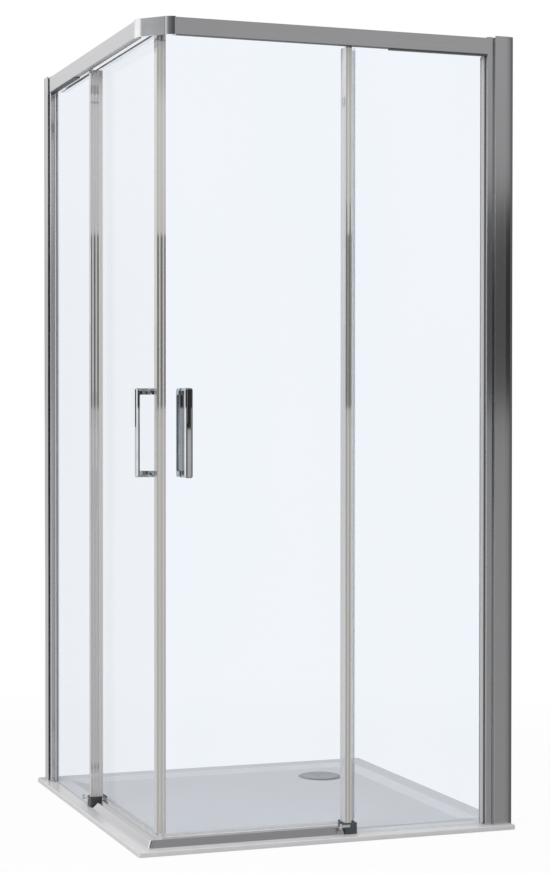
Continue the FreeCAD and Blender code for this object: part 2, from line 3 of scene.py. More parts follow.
import bpy
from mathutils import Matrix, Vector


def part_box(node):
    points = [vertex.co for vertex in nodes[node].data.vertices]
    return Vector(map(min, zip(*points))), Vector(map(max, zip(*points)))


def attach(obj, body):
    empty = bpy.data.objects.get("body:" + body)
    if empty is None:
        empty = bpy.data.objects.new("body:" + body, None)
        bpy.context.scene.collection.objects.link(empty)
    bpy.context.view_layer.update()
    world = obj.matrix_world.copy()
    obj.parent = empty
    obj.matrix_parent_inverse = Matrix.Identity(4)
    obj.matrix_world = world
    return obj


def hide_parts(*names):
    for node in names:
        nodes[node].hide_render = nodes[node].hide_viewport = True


# Looks of a corner-entry shower enclosure: two sliding doors, two fixed panes, aluminium profiles, flat tray
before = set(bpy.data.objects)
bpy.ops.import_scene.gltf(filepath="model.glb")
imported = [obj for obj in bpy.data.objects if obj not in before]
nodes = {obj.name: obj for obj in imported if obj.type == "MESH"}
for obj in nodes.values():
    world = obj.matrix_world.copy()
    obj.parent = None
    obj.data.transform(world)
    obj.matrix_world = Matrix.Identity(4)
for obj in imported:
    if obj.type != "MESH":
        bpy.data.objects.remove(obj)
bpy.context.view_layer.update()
print("stage: frame loaded,", len(nodes), "pieces")

grainLook = {"detail": 2.0, "roughness": 0.5, "spread": (0.3, 0.7)}  # most noise values lie in the spread
streak = (0.9, 1.0)  # darkest and lightest streak of the grain, as shares of the colour


def linear(hexColour):  # sRGB hex to linear RGBA
    channels = [int(hexColour[i:i + 2], 16) / 255 for i in (1, 3, 5)]
    return [c / 12.92 if c <= 0.04045 else ((c + 0.055) / 1.055) ** 2.4 for c in channels] + [1.0]


def greyTone(level):  # linear grey as RGBA
    return [level] * 3 + [1.0]


def addNode(tree, kind, links=None, **settings):  # one node with its settings, values and links
    node = tree.nodes.new(kind)
    for name, value in settings.items():
        setattr(node, name, value)
    for socket, value in (links or {}).items():
        if isinstance(value, bpy.types.NodeSocket):
            tree.links.new(value, node.inputs[socket])
        else:
            node.inputs[socket].default_value = value
    return node


def newMaterial(name):  # empty node tree with its output
    material = bpy.data.materials.new(name)
    material.use_nodes = True
    tree = material.node_tree
    tree.nodes.clear()
    return material, tree, addNode(tree, "ShaderNodeOutputMaterial")


def grainAlong(tree, axis, across, along):  # noise drawn out along one axis, sizes in millimetres
    place = addNode(tree, "ShaderNodeTexCoord")
    scale = [1000 / across] * 3
    scale["xyz".index(axis)] = 1000 / along
    spread = addNode(tree, "ShaderNodeMapping", {"Vector": place.outputs["Object"], "Scale": scale})
    return addNode(tree, "ShaderNodeTexNoise", {
        "Vector": spread.outputs["Vector"], "Scale": 1.0, "Detail": grainLook["detail"],
        "Roughness": grainLook["roughness"]}).outputs["Fac"]


def span(tree, grain, low, high):  # noise stretched to a range of values
    least, most = grainLook["spread"]
    return addNode(tree, "ShaderNodeMapRange", {"Value": grain, "From Min": least, "From Max": most,
                                               "To Min": low, "To Max": high}).outputs["Result"]


def mottled(tree, grain, look):  # colour that drifts between two tones with the grain
    return addNode(tree, "ShaderNodeMix", {
        "Factor": span(tree, grain, 0.0, 1.0), "A": linear(look["colour"]),
        "B": linear(look["darker"])}, data_type="RGBA").outputs["Result"]


def streaked(tree, grain, colour):  # a colour with darker streaks of the grain
    return addNode(tree, "ShaderNodeMix", {
        "Factor": 1.0, "A": colour, "B": span(tree, grain, *streak)},
        data_type="RGBA", blend_type="MULTIPLY").outputs["Result"]


# Anodised aluminium, extruded and polished: soft mirror with faint lines along the length
# Real die lines are 0.3 mm apart, too fine to show, so they are drawn 2.5 mm apart
aluminium = {"colour": "#E8E8EA", "darker": "#E3E3E6", "roughness": (0.085, 0.11), "metal": 1.0,
             "lineMm": 2.5, "lengthMm": 700.0, "depthMm": 0.001}
# Bright-dipped aluminium on the free edge of the fixed pane: clearer mirror with a pale bloom and lip
brightEdge = {"colour": "#F6F4F2", "darker": "#EFEDEB", "roughness": (0.018, 0.028),
              "ribMetal": (0.62, 0.86), "lineMm": 2.5, "lengthMm": 700.0, "depthMm": 0.0005,
              "lip": "#D2D0CE", "lipFrom": -0.445}
# Bright film on grey PVC, on the magnetic closing strips: mirror over a pale body
brightFilm = {"colour": "#F1EFEC", "darker": "#E8E5E2", "roughness": (0.018, 0.03),
              "ribMetal": (0.5, 0.82), "lineMm": 2.0, "lengthMm": 600.0, "depthMm": 0.0005}
# Ribs round the strips; the mirror is strongest where x + y is at the start and at each pitch from there
ribs = {"pitchMm": 9.3, "heightMm": 0.06, "stepMm": 0.5, "startMm": -420.5, "sharpAngle": 0.5, "weldMm": 0.01}
# Underside of the rail: the lip of the skirt is dull and carries painted shade, the roller track has a pale
# plastic liner
# The lip has an outer and an inner tone for each axis that a rail runs along; both are painted shade, darker
# inward and darker on the rail along x
railLinerAndLipShade = {"lip": {"x": ("#585A5D", "#48494C"), "y": ("#C8C9CB", "#707174")}, "liner": "#F0F1F2",
             "roughness": 0.5, "lipFrom": -0.4795, "lipTo": -0.4645, "trackTo": -0.412, "steep": 0.6,
             "lineMm": 6.0, "lengthMm": 200.0}
railMetal = dict(aluminium, under=railLinerAndLipShade)


def linerAndShadedLip(tree, shader, axis, look):  # painted shade on the lip of faces that look down, liner on upright faces in the track
    place = addNode(tree, "ShaderNodeTexCoord")
    parts = addNode(tree, "ShaderNodeSeparateXYZ", {"Vector": place.outputs["Object"]})
    inward = parts.outputs["Y" if axis == "x" else "X"]
    facing = addNode(tree, "ShaderNodeNewGeometry")
    slope = addNode(tree, "ShaderNodeSeparateXYZ", {"Vector": facing.outputs["Normal"]})
    down = addNode(tree, "ShaderNodeMath", {0: slope.outputs["Z"], 1: -look["steep"]}, operation="LESS_THAN")
    upright = addNode(tree, "ShaderNodeMath", {0: slope.outputs["Z"], 1: 0.0, 2: look["steep"]},
                      operation="COMPARE")
    inTrack = addNode(tree, "ShaderNodeMath", {0: inward, 1: look["trackTo"]}, operation="LESS_THAN")
    past = addNode(tree, "ShaderNodeMath", {0: inward, 1: look["lipTo"]}, operation="GREATER_THAN")
    side = addNode(tree, "ShaderNodeMath", {0: upright.outputs["Value"], 1: inTrack.outputs["Value"]},
                   operation="MULTIPLY")
    lined = addNode(tree, "ShaderNodeMath", {0: side.outputs["Value"], 1: past.outputs["Value"]},
                    operation="MULTIPLY")
    before = addNode(tree, "ShaderNodeMath", {0: 1.0, 1: past.outputs["Value"]}, operation="SUBTRACT")
    lipped = addNode(tree, "ShaderNodeMath", {0: down.outputs["Value"], 1: before.outputs["Value"]},
                     operation="MULTIPLY")
    where = addNode(tree, "ShaderNodeMath", {0: lined.outputs["Value"], 1: lipped.outputs["Value"]},
                    operation="MAXIMUM")
    # Painted shade: the lip darkens from the outer tone to the inner one towards the slot, and the rail along
    # x is darker than the one along y
    outer, inner = look["lip"][axis]
    lipShadeInward = addNode(tree, "ShaderNodeMapRange", {"Value": inward, "From Min": look["lipFrom"],
                                                "From Max": look["lipTo"]})
    lip = addNode(tree, "ShaderNodeMix", {"Factor": lipShadeInward.outputs["Result"], "A": linear(outer),
                                          "B": linear(inner)}, data_type="RGBA")
    base = addNode(tree, "ShaderNodeMix", {"Factor": past.outputs["Value"], "A": lip.outputs["Result"],
                                           "B": linear(look["liner"])}, data_type="RGBA")
    grain = grainAlong(tree, axis, look["lineMm"], look["lengthMm"])
    dull = addNode(tree, "ShaderNodeBsdfPrincipled", {
        "Base Color": streaked(tree, grain, base.outputs["Result"]), "Roughness": look["roughness"]})
    mix = addNode(tree, "ShaderNodeMixShader", {0: where.outputs["Value"], 1: shader,
                                               2: dull.outputs["BSDF"]})
    return mix.outputs["Shader"]


def drawnMetal(name, axis, look):  # lines run along the given axis
    material, tree, out = newMaterial(name + axis.upper())
    grain = grainAlong(tree, axis, look["lineMm"], look["lengthMm"])
    colour = mottled(tree, grain, look)
    shine = look.get("metal")
    if "ribMetal" in look:  # the mirror comes and goes with the ribs
        place = addNode(tree, "ShaderNodeTexCoord")
        parts = addNode(tree, "ShaderNodeSeparateXYZ", {"Vector": place.outputs["Object"]})
        across = addNode(tree, "ShaderNodeMath", {0: parts.outputs["X"], 1: parts.outputs["Y"]},
                         operation="ADD")
        turns = 2 * math.pi / ribs["pitchMm"]
        angle = addNode(tree, "ShaderNodeMath", {0: across.outputs["Value"], 1: 1000 * turns,
                                                 2: -ribs["startMm"] * turns}, operation="MULTIPLY_ADD")
        rib = addNode(tree, "ShaderNodeMath", {0: angle.outputs["Value"]}, operation="COSINE")
        weak, strong = look["ribMetal"]
        shine = addNode(tree, "ShaderNodeMapRange", {
            "Value": rib.outputs["Value"], "From Min": -1.0, "From Max": 1.0, "To Min": weak,
            "To Max": strong}).outputs["Result"]
        if "lip" in look:
            inward = addNode(tree, "ShaderNodeMath", {0: parts.outputs["X"], 1: parts.outputs["Y"]},
                             operation="MINIMUM")
            plated = addNode(tree, "ShaderNodeMath", {0: inward.outputs["Value"], 1: look["lipFrom"]},
                             operation="LESS_THAN").outputs["Value"]
            shine = addNode(tree, "ShaderNodeMath", {0: shine, 1: plated},
                            operation="MULTIPLY").outputs["Value"]
            colour = addNode(tree, "ShaderNodeMix", {"Factor": plated, "A": linear(look["lip"]),
                                                     "B": colour}, data_type="RGBA").outputs["Result"]
    drawn = addNode(tree, "ShaderNodeBump", {"Height": grain, "Strength": 1.0,
                                             "Distance": look["depthMm"] / 1000})
    metal = addNode(tree, "ShaderNodeBsdfPrincipled", {
        "Base Color": colour, "Metallic": shine, "Roughness": span(tree, grain, *look["roughness"]),
        "Normal": drawn.outputs["Normal"]})
    surface = metal.outputs["BSDF"]
    if "under" in look:
        surface = linerAndShadedLip(tree, surface, axis, look["under"])
    tree.links.new(surface, out.inputs["Surface"])
    return material


# Chrome on zinc die casting: hard mirror, black and white beside each other
chrome = {"colour": "#EEEFF1", "darker": "#E2E4E7", "roughness": (0.008, 0.02), "cloudMm": 25.0, "metal": 1.0}
# The corner connector: the same plate outside, the raw casting left dull inside
cornerChrome = dict(chrome, raw="#C6C7C9", rawRough=0.5, rawFrom=-0.4785, rawFacing=0.3)
# Satin chrome on the waste cover and its ring: the same plate, softly blasted
satinCover = {"colour": "#C2C3C6", "darker": "#BABBBE", "roughness": (0.30, 0.38), "cloudMm": 8.0,
              "metal": 0.52}


def chromePlate(name, look):
    material, tree, out = newMaterial(name)
    cloud = grainAlong(tree, "z", look["cloudMm"], look["cloudMm"])
    colour = mottled(tree, cloud, look)
    shine = look["metal"]
    roughness = span(tree, cloud, *look["roughness"])
    if "raw" in look:  # faces that look into the corner, behind the outer skin
        place = addNode(tree, "ShaderNodeTexCoord")
        parts = addNode(tree, "ShaderNodeSeparateXYZ", {"Vector": place.outputs["Object"]})
        facing = addNode(tree, "ShaderNodeNewGeometry")
        slope = addNode(tree, "ShaderNodeSeparateXYZ", {"Vector": facing.outputs["Normal"]})
        inward = addNode(tree, "ShaderNodeMath", {0: slope.outputs["X"], 1: slope.outputs["Y"]},
                         operation="ADD")
        away = addNode(tree, "ShaderNodeMath", {0: inward.outputs["Value"], 1: look["rawFacing"]},
                       operation="GREATER_THAN")
        depth = addNode(tree, "ShaderNodeMath", {0: parts.outputs["X"], 1: parts.outputs["Y"]},
                        operation="MINIMUM")
        behind = addNode(tree, "ShaderNodeMath", {0: depth.outputs["Value"], 1: look["rawFrom"]},
                         operation="GREATER_THAN")
        raw = addNode(tree, "ShaderNodeMath", {0: away.outputs["Value"], 1: behind.outputs["Value"]},
                      operation="MULTIPLY").outputs["Value"]
        colour = addNode(tree, "ShaderNodeMix", {"Factor": raw, "A": colour, "B": linear(look["raw"])},
                         data_type="RGBA").outputs["Result"]
        shine = addNode(tree, "ShaderNodeMath", {0: look["metal"], 1: raw},
                        operation="SUBTRACT").outputs["Value"]
        roughness = addNode(tree, "ShaderNodeMath", {0: raw, 1: look["rawRough"], 2: roughness},
                            operation="MULTIPLY_ADD").outputs["Value"]
    metal = addNode(tree, "ShaderNodeBsdfPrincipled", {"Base Color": colour, "Metallic": shine,
                                                       "Roughness": roughness})
    tree.links.new(metal.outputs["BSDF"], out.inputs["Surface"])
    return material


# Stainless steel, turned: duller and warmer than chrome
steel = {"colour": "#C9C7C3", "darker": "#B5B3AF", "roughness": (0.22, 0.34), "lineMm": 1.5, "lengthMm": 30.0}


def stainlessSteel():
    material, tree, out = newMaterial("stainlessSteel")
    grain = grainAlong(tree, "z", steel["lineMm"], steel["lengthMm"])
    metal = addNode(tree, "ShaderNodeBsdfPrincipled", {
        "Base Color": mottled(tree, grain, steel), "Metallic": 1.0,
        "Roughness": span(tree, grain, *steel["roughness"])})
    tree.links.new(metal.outputs["BSDF"], out.inputs["Surface"])
    return material


# Toughened float glass, 6 mm: clear with a cold tint; the low index keeps reflections off the panes
glass = {"colour": "#F2F6FC", "darker": "#F0F5FB", "thin": "#FCFDFE", "ior": 1.08, "waveMm": 300.0,
         "waveLengthMm": 900.0}


def letLightThrough(tree, shader, tint, out):  # lamps, bounced light and mirrors see straight through
    path = addNode(tree, "ShaderNodeLightPath")
    soft = addNode(tree, "ShaderNodeMath", {0: path.outputs["Is Shadow Ray"],
                                            1: path.outputs["Is Diffuse Ray"]}, operation="MAXIMUM")
    mirror = addNode(tree, "ShaderNodeMath", {0: path.outputs["Is Glossy Ray"],
                                              1: path.outputs["Is Transmission Ray"]}, operation="SUBTRACT")
    anyRay = addNode(tree, "ShaderNodeMath", {0: soft.outputs["Value"],
                                              1: mirror.outputs["Value"]}, operation="MAXIMUM")
    film = addNode(tree, "ShaderNodeBsdfTransparent", {"Color": tint})
    mix = addNode(tree, "ShaderNodeMixShader", {0: anyRay.outputs["Value"], 1: shader,
                                               2: film.outputs["BSDF"]})
    tree.links.new(mix.outputs["Shader"], out.inputs["Surface"])


def floatGlass():
    material, tree, out = newMaterial("floatGlass")
    wave = grainAlong(tree, "z", glass["waveMm"], glass["waveLengthMm"])
    pane = addNode(tree, "ShaderNodeBsdfPrincipled", {
        "Base Color": mottled(tree, wave, glass), "Roughness": 0.0, "IOR": glass["ior"],
        "Transmission Weight": 1.0})
    letLightThrough(tree, pane.outputs["BSDF"], linear(glass["thin"]), out)
    return material


# Clear soft PVC, extruded: mostly clear with a grey veil and drawn lines
clearVinyl = {"colour": "#F2F1EF", "darker": "#E4E3E1", "roughness": (0.12, 0.2), "cover": 0.14,
              "lineMm": 2.0, "lengthMm": 400.0}


def clearSeal(axis):
    material, tree, out = newMaterial("clearPvc" + axis.upper())
    grain = grainAlong(tree, axis, clearVinyl["lineMm"], clearVinyl["lengthMm"])
    vinyl = addNode(tree, "ShaderNodeBsdfPrincipled", {
        "Base Color": mottled(tree, grain, clearVinyl), "Alpha": clearVinyl["cover"],
        "Roughness": span(tree, grain, *clearVinyl["roughness"])})
    tree.links.new(vinyl.outputs["BSDF"], out.inputs["Surface"])
    return material


# Grey TPE gasket, extruded: pale lip, with painted shade as a dark line at its root beside the profile
gasket = {"lip": "#DADBDA", "shadeTone": "#77787A", "shadeFrom": (0.4239, 0.4247), "roughness": (0.34, 0.46),
          "lineMm": 1.5, "lengthMm": 300.0}


def gasketWithShadedRoot(axis):
    material, tree, out = newMaterial("gasketPaintedShade" + axis.upper())
    place = addNode(tree, "ShaderNodeTexCoord")
    parts = addNode(tree, "ShaderNodeSeparateXYZ", {"Vector": place.outputs["Object"]})
    # Painted shade: the gasket turns dark over a strip under a millimetre wide next to the profile, where the
    # gap between them lies in shade
    start, end = gasket["shadeFrom"]
    near = addNode(tree, "ShaderNodeMapRange", {"Value": parts.outputs[axis.upper()], "From Min": start,
                                                "From Max": end})
    tone = addNode(tree, "ShaderNodeMix", {"Factor": near.outputs["Result"], "A": linear(gasket["lip"]),
                                           "B": linear(gasket["shadeTone"])}, data_type="RGBA")
    grain = grainAlong(tree, "z", gasket["lineMm"], gasket["lengthMm"])
    body = addNode(tree, "ShaderNodeBsdfPrincipled", {
        "Base Color": streaked(tree, grain, tone.outputs["Result"]),
        "Roughness": span(tree, grain, *gasket["roughness"])})
    tree.links.new(body.outputs["BSDF"], out.inputs["Surface"])
    return material


plastics = {
    # EPDM rubber, extruded: dark grey and dull
    "epdmRubber": {"colour": "#5C5D60", "darker": "#525356", "roughness": (0.5, 0.65), "grainMm": 1.2,
                   "depthMm": 0.05},
    # ABS, moulded in slate grey with a fine spark grain
    "mouldedAbs": {"colour": "#55585D", "darker": "#4A4D52", "roughness": (0.35, 0.5), "grainMm": 1.5,
                   "depthMm": 0.05},
    # Nylon, moulded: pale grey and waxy
    "paleNylon": {"colour": "#C4C4C2", "darker": "#B6B6B4", "roughness": (0.3, 0.4), "grainMm": 1.5,
                  "depthMm": 0.03},
    # Acetal, turned: white and slippery
    "whiteAcetal": {"colour": "#E4E4E0", "darker": "#DADAD5", "roughness": (0.3, 0.4), "grainMm": 2.0,
                    "depthMm": 0.03}}
reliefStrength = 0.3  # how strongly the grain's depth shows


def grainyPlastic(name, look):  # plastic with a fine grain
    material, tree, out = newMaterial(name)
    grain = grainAlong(tree, "z", look["grainMm"], look["grainMm"])
    relief = addNode(tree, "ShaderNodeBump", {"Height": grain, "Strength": reliefStrength,
                                              "Distance": look["depthMm"] / 1000})
    plastic = addNode(tree, "ShaderNodeBsdfPrincipled", {
        "Base Color": mottled(tree, grain, look), "Normal": relief.outputs["Normal"],
        "Roughness": span(tree, grain, *look["roughness"])})
    tree.links.new(plastic.outputs["BSDF"], out.inputs["Surface"])
    return material


# Cast acrylic, gel-coated: pale grey, satin with a clear gloss on top
acrylic = {"colour": "#DDDDDE", "darker": "#D9D9DA", "roughness": (0.20, 0.24), "cloudMm": 60.0, "ior": 1.49,
           "coat": 0.2, "coatRoughness": 0.12}


def castAcrylic():
    material, tree, out = newMaterial("castAcrylic")
    cloud = grainAlong(tree, "z", acrylic["cloudMm"], acrylic["cloudMm"])
    body = addNode(tree, "ShaderNodeBsdfPrincipled", {
        "Base Color": mottled(tree, cloud, acrylic), "IOR": acrylic["ior"], "Coat Weight": acrylic["coat"],
        "Coat Roughness": acrylic["coatRoughness"], "Roughness": span(tree, cloud, *acrylic["roughness"])})
    tree.links.new(body.outputs["BSDF"], out.inputs["Surface"])
    return material


alumX, alumY, alumZ = [drawnMetal("anodisedAluminium", axis, aluminium) for axis in "xyz"]
railX, railY = [drawnMetal("railAluminium", axis, railMetal) for axis in "xy"]
edgeMetal = drawnMetal("brightAluminium", "z", brightEdge)
stripFilm = drawnMetal("brightFilmOnPvc", "z", brightFilm)
gasketX, gasketY = [gasketWithShadedRoot(axis) for axis in "xy"]
sealX, sealY, sealZ = [clearSeal(axis) for axis in "xyz"]
chromed = chromePlate("chromePlate", chrome)
satinChrome = chromePlate("satinChrome", satinCover)
chromedCasting = chromePlate("chromeOnZinc", cornerChrome)
turnedSteel = stainlessSteel()
clearGlass = floatGlass()
trayAcrylic = castAcrylic()
darkRubber, greyPlastic, paleNylon, whiteAcetal = [grainyPlastic(*plastic) for plastic in plastics.items()]

# Material and record slot of each CAD piece; a pair of materials is for the front and the left side
finishes = {
    "shower_tray": (trayAcrylic, "tray"), "drain_ring": (satinChrome, "steel"),
    "drain_cover": (satinChrome, "chrome"), "corner_connector": (chromedCasting, "chrome"),
    "wall_profile": (alumZ, "aluminium"), "adjust_profile": (alumZ, "aluminium"),
    "top_rail": ((railX, railY), "aluminium"), "threshold": ((alumX, alumY), "aluminium"),
    "pane_gasket": ((gasketX, gasketY), "clear_seal"), "pane_clamp": (darkRubber, "dark_rubber"),
    "fixed_pane": (clearGlass, "glass"), "door_pane": (clearGlass, "glass"),
    "setting_strip": ((sealX, sealY), "clear_seal"), "drip_seal": ((sealX, sealY), "clear_seal"),
    "edge_profile": (edgeMetal, "aluminium"), "magnet_seal": (stripFilm, "bright_seal"),
    "trailing_seal": (sealZ, "clear_seal"), "handle_washers": (sealZ, "clear_seal"),
    "guide_block": (greyPlastic, "dark_plastic"), "guide_lever": (paleNylon, "dark_plastic"),
    "handle_outer": (chromed, "chrome"), "handle_inner": (chromed, "chrome"),
    "handle_bolts": (turnedSteel, "steel"), "roller_axles": (turnedSteel, "steel"),
    "roller_bushes": (greyPlastic, "dark_plastic"),
    "rollers_near": (whiteAcetal, "white_plastic"), "rollers_far": (whiteAcetal, "white_plastic")}

for name, piece in nodes.items():
    side = name.rsplit("_", 1)[-1]
    kind = name[:-len(side) - 1] if side in ("front", "left") else name
    finish, slotName = finishes[kind]
    if isinstance(finish, tuple):
        finish = finish[0] if side == "front" else finish[1]
    piece.data.materials.clear()
    piece.data.materials.append(finish)
print("stage: finishes on", len(nodes), "pieces")

# Clip on the free edge of the fixed pane, drawn up to the rail; section in millimetres from the outer corner
edgeStrip = {"node": "edge_profile", "slot": "aluminium", "bodies": {"front": "frame", "left": "frame"},
             "section": [(526.0, 14.0), (542.0, 14.0), (542.0, 15.8), (527.8, 15.8), (527.8, 22.2),
                         (542.0, 22.2), (542.0, 24.0), (529.5, 24.0), (529.5, 45.1), (526.9, 46.9),
                         (526.0, 46.9)], "railGap": 0.0003}
# Magnetic closing strip on the leading edge of each door
closingStrip = {"node": "magnet_seal", "slot": "bright_seal",
                "bodies": {"front": "door_front", "left": "door_left"},
                "section": [(46.45, 46.3), (68.8, 46.3), (68.8, 47.5), (59.8, 47.5), (59.8, 53.5),
                            (68.8, 53.5), (68.8, 54.7), (54.85, 54.7)]}
cornerMm = -481.0  # the outer corner of the rails in the frame


def ribbedTree():  # section loop in, ribbed straight extrusion out
    tree = bpy.data.node_groups.new("ribbedExtrusion", "GeometryNodeTree")
    for name, kind in (("Section", "Geometry"), ("Bottom", "Float"), ("Length", "Float"),
                       ("Rib Pitch", "Float"), ("Rib Height", "Float"), ("Step", "Float"),
                       ("Sharp Angle", "Float"), ("Weld", "Float"), ("Finish", "Material")):
        tree.interface.new_socket(name, in_out="INPUT", socket_type="NodeSocket" + kind)
    tree.interface.new_socket("Strip", in_out="OUTPUT", socket_type="NodeSocketGeometry")
    given = addNode(tree, "NodeGroupInput").outputs
    loop = addNode(tree, "GeometryNodeMeshToCurve", {"Mesh": given["Section"]})
    fine = addNode(tree, "GeometryNodeResampleCurve", {"Curve": loop.outputs["Curve"],
                                                       "Length": given["Step"]}, mode="LENGTH")
    along = addNode(tree, "GeometryNodeSplineParameter")
    turns = addNode(tree, "ShaderNodeMath", {0: along.outputs["Length"], 1: given["Rib Pitch"]},
                    operation="DIVIDE")
    angle = addNode(tree, "ShaderNodeMath", {0: turns.outputs["Value"], 1: 2 * math.pi}, operation="MULTIPLY")
    wave = addNode(tree, "ShaderNodeMath", {0: angle.outputs["Value"]}, operation="COSINE")
    height = addNode(tree, "ShaderNodeMath", {0: wave.outputs["Value"], 1: given["Rib Height"]},
                     operation="MULTIPLY")
    outward = addNode(tree, "GeometryNodeInputNormal")
    push = addNode(tree, "ShaderNodeVectorMath", {0: outward.outputs["Normal"],
                                                  "Scale": height.outputs["Value"]}, operation="SCALE")
    ribbed = addNode(tree, "GeometryNodeSetPosition", {"Geometry": fine.outputs["Curve"],
                                                       "Offset": push.outputs["Vector"]})
    face = addNode(tree, "GeometryNodeFillCurve", {"Curve": ribbed.outputs["Geometry"]}, mode="NGONS")
    raised = addNode(tree, "GeometryNodeExtrudeMesh", {
        "Mesh": face.outputs["Mesh"], "Offset": (0.0, 0.0, 1.0), "Offset Scale": given["Length"],
        "Individual": False})
    foot = addNode(tree, "GeometryNodeFlipFaces", {"Mesh": face.outputs["Mesh"]})
    both = addNode(tree, "GeometryNodeJoinGeometry", {"Geometry": foot.outputs["Mesh"]})
    tree.links.new(raised.outputs["Mesh"], both.inputs["Geometry"])
    solid = addNode(tree, "GeometryNodeMergeByDistance", {"Geometry": both.outputs["Geometry"],
                                                          "Distance": given["Weld"]})
    place = addNode(tree, "ShaderNodeCombineXYZ", {"Z": given["Bottom"]})
    lifted = addNode(tree, "GeometryNodeTransform", {"Geometry": solid.outputs["Geometry"],
                                                     "Translation": place.outputs["Vector"]})
    bend = addNode(tree, "GeometryNodeInputMeshEdgeAngle")
    soft = addNode(tree, "FunctionNodeCompare", {0: bend.outputs["Unsigned Angle"], 1: given["Sharp Angle"]},
                   operation="LESS_THAN")
    rounded = addNode(tree, "GeometryNodeSetShadeSmooth", {"Geometry": lifted.outputs["Geometry"],
                                                           "Shade Smooth": True})
    creased = addNode(tree, "GeometryNodeSetShadeSmooth", {
        "Geometry": rounded.outputs["Geometry"], "Shade Smooth": soft.outputs["Result"]}, domain="EDGE")
    real = addNode(tree, "GeometryNodeRealizeInstances", {"Geometry": creased.outputs["Geometry"]})
    painted = addNode(tree, "GeometryNodeSetMaterial", {"Geometry": real.outputs["Geometry"],
                                                        "Material": given["Finish"]})
    addNode(tree, "NodeGroupOutput", {"Strip": painted.outputs["Geometry"]})
    return tree


def ribbedStrip(tree, strip, side, finish):
    node = strip["node"] + "_" + side
    low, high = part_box(node)
    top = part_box("top_rail_" + side)[0][2] - strip["railGap"] if "railGap" in strip else high[2]
    corners = [(u, v) if side == "front" else (v, u) for u, v in strip["section"]]
    mesh = bpy.data.meshes.new(node + "_ribbed")
    mesh.from_pydata([((a + cornerMm) / 1000, (b + cornerMm) / 1000, 0.0) for a, b in corners],
                     [(i, (i + 1) % len(corners)) for i in range(len(corners))], [])
    piece = bpy.data.objects.new(node + "_ribbed", mesh)
    bpy.context.scene.collection.objects.link(piece)
    modifier = piece.modifiers.new("ribbedExtrusion", "NODES")
    modifier.node_group = tree
    values = {"Bottom": low[2], "Length": top - low[2], "Rib Pitch": ribs["pitchMm"] / 1000,
              "Rib Height": ribs["heightMm"] / 1000, "Step": ribs["stepMm"] / 1000,
              "Sharp Angle": ribs["sharpAngle"], "Weld": ribs["weldMm"] / 1000, "Finish": finish}
    for item in tree.interface.items_tree:
        if item.in_out == "INPUT" and item.name in values:
            modifier[item.identifier] = values[item.name]
    plain = bpy.data.meshes.new_from_object(piece.evaluated_get(bpy.context.evaluated_depsgraph_get()))
    piece.modifiers.remove(modifier)
    piece.data = plain
    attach(piece, strip["bodies"][side])
    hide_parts(node)
    return piece


stripTree = ribbedTree()
stripPieces = [ribbedStrip(stripTree, strip, side, finish) for side in ("front", "left")
               for strip, finish in ((edgeStrip, edgeMetal), (closingStrip, stripFilm))]
print("stage: ribbed strips,", sum(len(piece.data.polygons) for piece in stripPieces), "faces")

# Soft light on dull surfaces: more from the left and the back than from the front
ambient = {"level": 0.74, "lean": (-0.15, 0.30, 0.0)}
# The room that mirrors see; turns are degrees round the room, heights are over distance, greys are linear
# Edges by height: the heights where each starts and ends, its values there and how it runs
roomEdges = {"upperStorey": {"height": (0.155, 0.175), "values": (0.0, 1.0), "run": "SMOOTHSTEP"},
             "footOfWalls": {"height": (0.05, 0.13), "values": (0.82, 1.0), "run": "SMOOTHSTEP"},
             "steepFloor": {"height": (-0.24, -0.32), "values": (1.0, 0.6), "run": "SMOOTHSTEP"},
             "ceiling": {"height": (0.35, 0.85), "values": (0.0, 1.0), "run": "SMOOTHSTEP"},
             "bandFoot": {"height": (0.0014, 0.0026), "values": (0.0, 1.0), "run": "LINEAR"},
             "skirtingTop": {"height": (0.186, 0.171), "values": (0.0, 1.0), "run": "LINEAR"},
             "skirtingFoot": {"height": (-0.01, 0.01), "values": (0.0, 1.0), "run": "LINEAR"},
             "sheet": {"height": (-0.05, -0.09), "values": (0.0, 1.0), "run": "LINEAR"}}
ceilingGrey = 0.30
lowerWalls = [(-180, 1.05), (-172, 0.9), (-163, 0.6), (-153, 1.2), (-134, 1.3), (-118, 0.3), (-102, 0.22),
              (-82, 0.22), (-77, 0.5), (-66, 0.5), (-63.5, 0.34), (-60, 0.34), (-45, 0.3), (-20, 0.12),
              (20, 0.15), (60, 0.6), (85, 0.75), (110, 0.67), (140, 1.05), (180, 1.05)]
upperWalls = [(-180, 1.05), (-172, 0.9), (-167, 0.7), (-163, 0.48), (-161.9, 0.42), (-161, 0.05),
              (-157.8, 0.05), (-156.5, 0.7), (-147, 0.6), (-139, 0.34), (-130, 0.21), (-121, 0.165),
              (-112, 0.14), (-103, 0.105), (-94, 0.095), (-83, 0.075), (-80, 0.32), (-60, 0.37),
              (-45, 0.3), (-20, 0.12), (20, 0.15), (60, 0.6), (85, 0.75), (110, 0.75), (140, 1.05),
              (180, 1.05)]
# Low dark furniture
cabinet = {"turn": ((-122, 0), (-114, 1), (-80, 1), (-78, 0)), "edge": (0.06, 0.05), "grey": 0.01}
# Dark band ahead of the doors; its top, in degrees, and its grey change at a turn
band = {"turn": (-65.5, -63.5), "top": (5.25, 6.2), "grey": (0.03, 0.08), "topEdge": 0.0006,
        "ahead": (-0.35, -0.55)}
# Grey skirting behind, with a white sheet on the floor before it
skirting = {"turn": ((48, 0), (56, 1), (92, 1), (98, 0)), "grey": 0.15}
